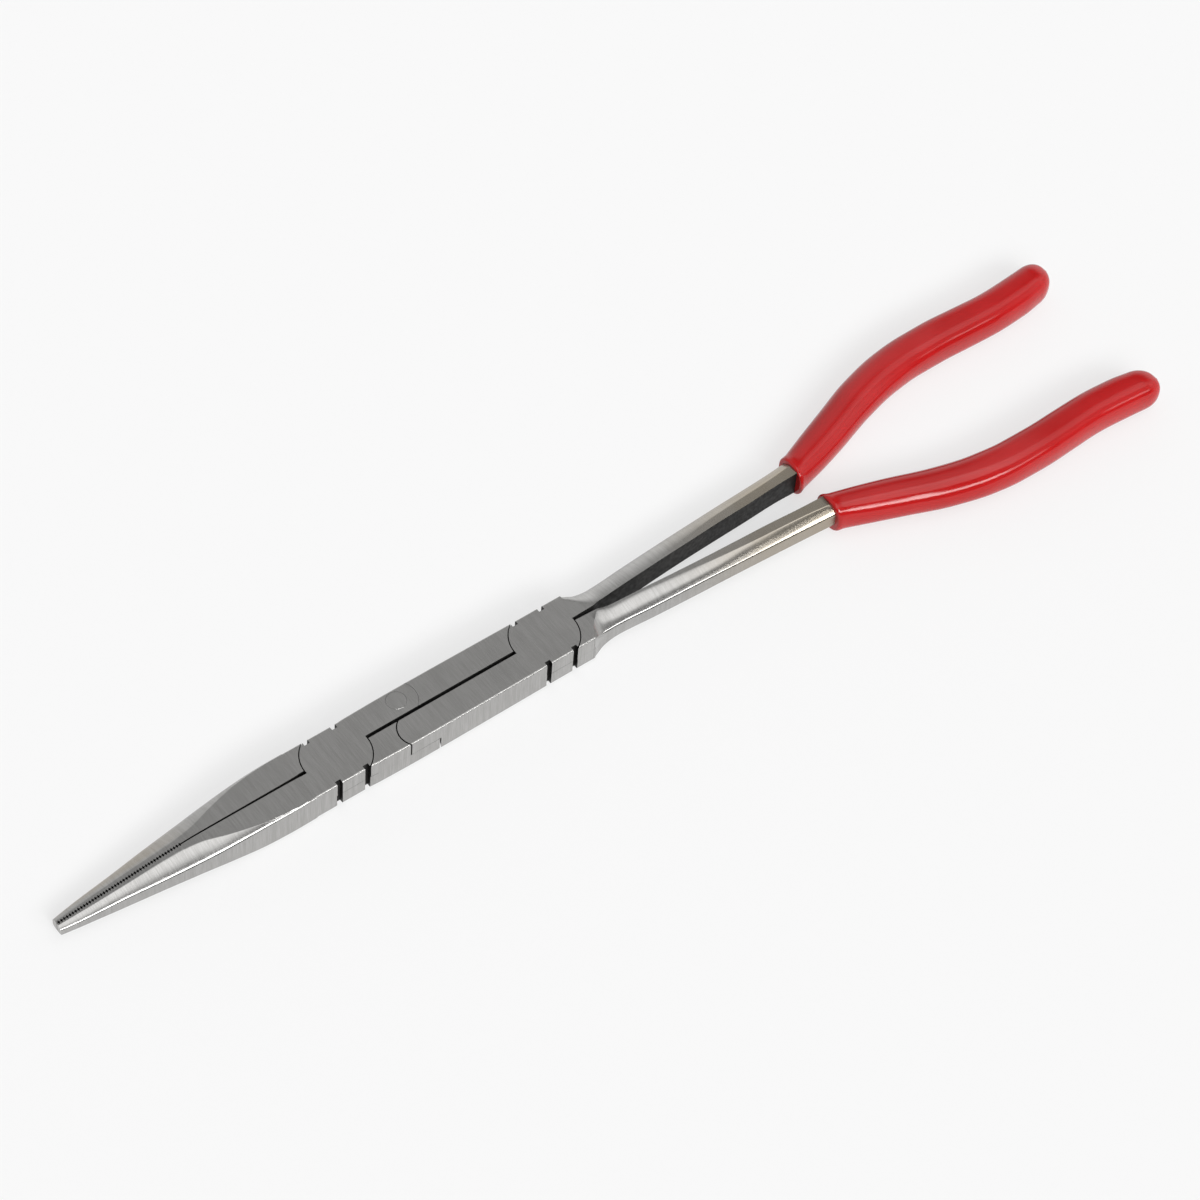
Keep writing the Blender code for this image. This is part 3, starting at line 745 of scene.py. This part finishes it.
def red_vinyl():
    """Dipped vinyl: glossy, very slightly uneven, with a few pinholes and specks of dust."""
    material, n = new_material("red_vinyl_fine")
    place_on = n.add("ShaderNodeTexCoord").outputs["Object"]
    sag = n.noise(n.stretched(place_on, VINYL_SAG), 1.0, 2.0)
    skin = n.noise(place_on, VINYL_GRAIN, 3.0, 0.6)
    tone = n.noise(place_on, VINYL_TONE, 4.0)
    cells = n.add("ShaderNodeTexVoronoi", {
        "Vector": place_on, "Scale": SPECK_SCALE, "Randomness": 1.0})
    chosen = n.remap(n.add("ShaderNodeSeparateColor", {0: cells.outputs["Color"]}).outputs[0],
                     *SPECK_SHARE, 0.0, 1.0)
    speck = n.math("MULTIPLY", n.remap(cells.outputs["Distance"], *SPECK_EDGE, 1.0, 0.0), chosen)
    red = n.mix(n.remap(tone, *NOISE_SPAN, 0.0, 1.0), VINYL_DEEP, VINYL_PALE)
    colour = n.mix(n.math("MULTIPLY", speck, SPECK_TINT), red, SPECK_COLOUR)
    rough = n.math("ADD", n.remap(skin, *NOISE_SPAN, *VINYL_ROUGH),
                   n.math("MULTIPLY", speck, SPECK_ROUGH))
    normal = n.bump(skin, 0.04, 0.00002)
    normal = n.bump(sag, 0.2, 0.0003, normal)
    normal = n.bump(n.math("MULTIPLY", speck, -1.0), 0.3, 0.00005, normal)
    shader = n.add("ShaderNodeBsdfPrincipled", {
        "Base Color": colour, "Roughness": rough, "Normal": normal, "IOR": 1.42,
        "Subsurface Weight": 0.04, "Subsurface Scale": 0.002})
    shader.inputs["Subsurface Radius"].default_value = (1.0, 0.15, 0.1)
    n.add("ShaderNodeOutputMaterial", {"Surface": shader.outputs[0]})
    return material


def pale_floor():
    """A matt floor that glows a little, so that it shows nearly white with soft shadows."""
    material, n = new_material("pale_floor")
    shader = n.add("ShaderNodeBsdfPrincipled", {
        "Base Color": FLOOR_COLOUR, "Roughness": 0.9,
        "Emission Color": WHITE, "Emission Strength": FLOOR_GLOW})
    n.add("ShaderNodeOutputMaterial", {"Surface": shader.outputs[0]})
    return material


# Limits for the faces of a forging given the dark skin and painted shade: a lap face's distance
# from mid height, the parts of a normal that make a face level, endways or inward, and the notches'
# floor.
LAP_TOLERANCE = 0.3
LEVEL = 0.5
ENDWAYS = 0.5
FACING_IN = 0.3
NOTCH_INSIDE = 7.4


def is_dark(centre, normal):
    """Inner sides all along, and between the nose and the shank the laps, notches and shoulders."""
    outward = normal.y * (1 if centre.y > 0 else -1)
    if outward < -FACING_IN:
        return True
    if not NOSE_START_X < centre.x < SHANK_START_X:
        return False
    if abs(normal.z) > LEVEL:
        return abs(centre.z - MID_Z) < LAP_TOLERANCE
    return abs(centre.y) < NOTCH_INSIDE or abs(normal.x) > ENDWAYS


def finish_forging(obj, ground, dark):
    obj.data.materials.clear()
    obj.data.materials.append(ground)
    obj.data.materials.append(dark)
    for face in obj.data.polygons:
        centre = face.center / MM - ORIGIN
        # Faces picked by is_dark get the near-black skin, which also stands in for their shade.
        face.material_index = 1 if is_dark(centre, face.normal) else 0
    shade(obj, STEEL_SHARP)


# ---------------------------------------------------------------- the object

def build_pliers():
    ground, dark, vinyl = ground_steel(), scale_and_shade_steel(), red_vinyl()
    nose = Joint(FRONT_X, -1, FRONT_X - NOSE_START_X + JOIN_OVERLAP)
    front = [Joint(FRONT_X, 1, None), nose]
    close_front = [Joint(FRONT_X, 1, None, CLOSE_LAP_RADIUS), nose]
    rear = [Joint(0.0, 1, SHANK_START_X + JOIN_OVERLAP), Joint(0.0, -1, None)]
    forgings = {
        "left_jaw": make_forging("left_jaw", close_front, nose_rings(-1), False),
        "right_jaw": make_forging("right_jaw", front, nose_rings(1), True),
        "right_handle": make_forging("right_handle", rear, shank_rings(1), False),
        "left_handle": make_forging("left_handle", rear, shank_rings(-1), True),
    }
    low, high = BLIND_DEPTH, THICK - BLIND_DEPTH
    bore, loose = RIVET_RADIUS + RUNNING_GAP, RIVET_RADIUS + LOOSE_GAP
    eye = PIN_RADIUS + RUNNING_GAP
    above, below = MID_Z + OVERCUT, MID_Z - OVERCUT
    holes = {
        "left_jaw": [hole(FRONT_X, 0.0, bore, below, high + RUNNING_GAP),
                     hole(LINK_X, LINK_Y, eye, below, THICK + OVERCUT)],
        "right_jaw": [hole(FRONT_X, 0.0, loose, low - RUNNING_GAP, above),
                      hole(LINK_X, -LINK_Y, eye, -OVERCUT, above)],
        "right_handle": [hole(0.0, 0.0, bore, below, high + RUNNING_GAP),
                         hole(LINK_X, -LINK_Y, eye, below, high + RUNNING_GAP)],
        "left_handle": [hole(0.0, 0.0, bore, low - RUNNING_GAP, above),
                        hole(LINK_X, LINK_Y, eye, low - RUNNING_GAP, above)],
    }
    for name, forging in forgings.items():
        combine(forging, holes[name])
        finish_forging(forging, ground, dark)
    pins = {
        "front_pivot_rivet": make_pin("front_pivot_rivet", FRONT_X, 0.0, RIVET_RADIUS, low, high),
        "rear_pivot_rivet": make_pin("rear_pivot_rivet", 0.0, 0.0, RIVET_RADIUS, low, high),
        "right_link_pin": make_pin("right_link_pin", LINK_X, LINK_Y, PIN_RADIUS, low, THICK),
        "left_link_pin": make_pin("left_link_pin", LINK_X, -LINK_Y, PIN_RADIUS, 0.0, high),
    }
    for pin in pins.values():
        pin.data.materials.append(ground)
        shade(pin, STEEL_SHARP)
    grips = {"right_grip": make_grip("right_grip", 1, GRIP_START_X + FAR_MOUTH_X),
             "left_grip": make_grip("left_grip", -1, GRIP_START_X)}
    for grip in grips.values():
        grip.data.materials.clear()
        grip.data.materials.append(vinyl)
        shade(grip, VINYL_SHARP)
    slots = ((forgings, "ground_steel"), (pins, "pin_steel"), (grips, "red_vinyl"))
    members = frame["record"]["behaviour"]["bodies"]
    bodies = {node: body for body, nodes in members.items() for node in nodes}
    for pieces, slot in slots:
        for node, piece in pieces.items():
            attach(piece, bodies[node])
            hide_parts(node)


# ---------------------------------------------------------------- floor, light and camera

def build_floor():
    mesh = bpy.data.meshes.new("floor")
    half = FLOOR_HALF
    corners = [(-half, -half, 0), (half, -half, 0), (half, half, 0), (-half, half, 0)]
    mesh.from_pydata(corners, [], [(0, 1, 2, 3)])
    floor = bpy.data.objects.new("floor", mesh)
    bpy.context.scene.collection.objects.link(floor)
    mesh.materials.append(pale_floor())


def build_world():
    """A studio: pale walls with an unlit stretch, a soft overhead panel and a long bright window.

    The camera itself sees plain white.
    """
    world = bpy.data.worlds.new("studio")
    world.use_nodes = True
    n = Nodes(world.node_tree)
    direction = n.add("ShaderNodeTexCoord").outputs["Generated"]
    parts = n.add("ShaderNodeSeparateXYZ", {0: direction})
    x, y, z = parts.outputs[0], parts.outputs[1], parts.outputs[2]

    def panel(centre, half_wide, half_high, softness, level):
        """A flat softbox in this direction, its half sizes as tangents seen from the object."""
        facing = Vector(centre).normalized()
        across = facing.cross(Vector((0, 0, 1))).normalized()
        up = across.cross(facing)
        ahead = n.vector_math("DOT_PRODUCT", direction, tuple(facing)).outputs["Value"]
        right = n.vector_math("DOT_PRODUCT", direction, tuple(across)).outputs["Value"]
        high = n.vector_math("DOT_PRODUCT", direction, tuple(up)).outputs["Value"]
        safe = n.math("MAXIMUM", ahead, PANEL_AHEAD[0])
        wide = n.math("ABSOLUTE", n.math("DIVIDE", right, safe))
        tall = n.math("ABSOLUTE", n.math("DIVIDE", high, safe))
        mask = n.math("MULTIPLY", n.remap(wide, half_wide - softness, half_wide, 1.0, 0.0),
                      n.remap(tall, half_high - softness, half_high, 1.0, 0.0))
        mask = n.math("MULTIPLY", mask, n.remap(ahead, *PANEL_AHEAD, 0.0, 1.0))
        return n.math("MULTIPLY", mask, level)

    unlit = n.math("MULTIPLY", n.remap(x, *UNLIT_ALONG), n.remap(z, *UNLIT_UP))
    rear = n.math("ADD", n.remap(x, *REAR_ALONG), n.remap(z, *REAR_UP))
    rear = n.math("SUBTRACT", rear, unlit)
    gap = n.math("MULTIPLY", n.remap(z, *GAP_UP), n.remap(x, *GAP_ALONG))
    front = n.math("ADD", n.remap(x, *FRONT_ALONG), gap)
    sides = {0: n.remap(y, *FRONT_TO_REAR), 2: front, 3: rear}
    wall = n.add("ShaderNodeMix", sides).outputs[0]
    overhead = panel(*OVERHEAD)
    window = panel(*WINDOW)
    side_light = panel(*SIDE_LIGHT)
    bright_part = panel(*BRIGHT_PART)
    window = n.math("MAXIMUM", n.math("MAXIMUM", window, side_light), bright_part)
    overhead = n.math("MULTIPLY", overhead, n.remap(x, *OVERHEAD_ALONG))
    level = n.math("ADD", wall, n.math("ADD", overhead, window))
    seen = n.add("ShaderNodeLightPath").outputs["Is Camera Ray"]
    level = n.math("ADD", n.math("MULTIPLY", level, n.math("SUBTRACT", 1.0, seen)), seen)
    background = n.add("ShaderNodeBackground", {"Color": WHITE, "Strength": level})
    n.add("ShaderNodeOutputWorld", {"Surface": background.outputs[0]})
    bpy.context.scene.world = world


# The camera stands above the near side, towards the jaws. Its place, turn and lens were fitted to
# points marked on the photo.
CAMERA_AZIMUTH = radians(-40.731)
CAMERA_HEIGHT = radians(53.483)
CAMERA_ROLL = radians(4.995)
CAMERA_DISTANCE = 1073.79
CAMERA_TARGET = (23.065, 6.185, 0.0)
CAMERA_LENS = 123.096
SENSOR_WIDTH = 36.0


def build_camera():
    back = Vector((sin(CAMERA_AZIMUTH) * cos(CAMERA_HEIGHT),
                   -cos(CAMERA_AZIMUTH) * cos(CAMERA_HEIGHT), sin(CAMERA_HEIGHT)))
    right = (-back).cross(Vector((0, 0, 1))).normalized()
    up = right.cross(-back)
    turned_right = right * cos(CAMERA_ROLL) + up * sin(CAMERA_ROLL)
    turned_up = up * cos(CAMERA_ROLL) - right * sin(CAMERA_ROLL)
    data = bpy.data.cameras.new("camera")
    data.lens = CAMERA_LENS
    data.sensor_width = SENSOR_WIDTH
    camera = bpy.data.objects.new("camera", data)
    turn = Matrix((turned_right, turned_up, back)).transposed().to_4x4()
    position = place(CAMERA_TARGET) + back * CAMERA_DISTANCE * MM
    camera.matrix_world = Matrix.Translation(position) @ turn
    bpy.context.scene.collection.objects.link(camera)
    bpy.context.scene.camera = camera


def build_scene():
    build_pliers()
    build_floor()
    build_world()
    build_camera()
    scene = bpy.context.scene
    scene.view_settings.view_transform = "Standard"
    scene.view_settings.look = "None"
    scene.view_settings.exposure = 0.0
    bpy.context.view_layer.update()


build_scene()
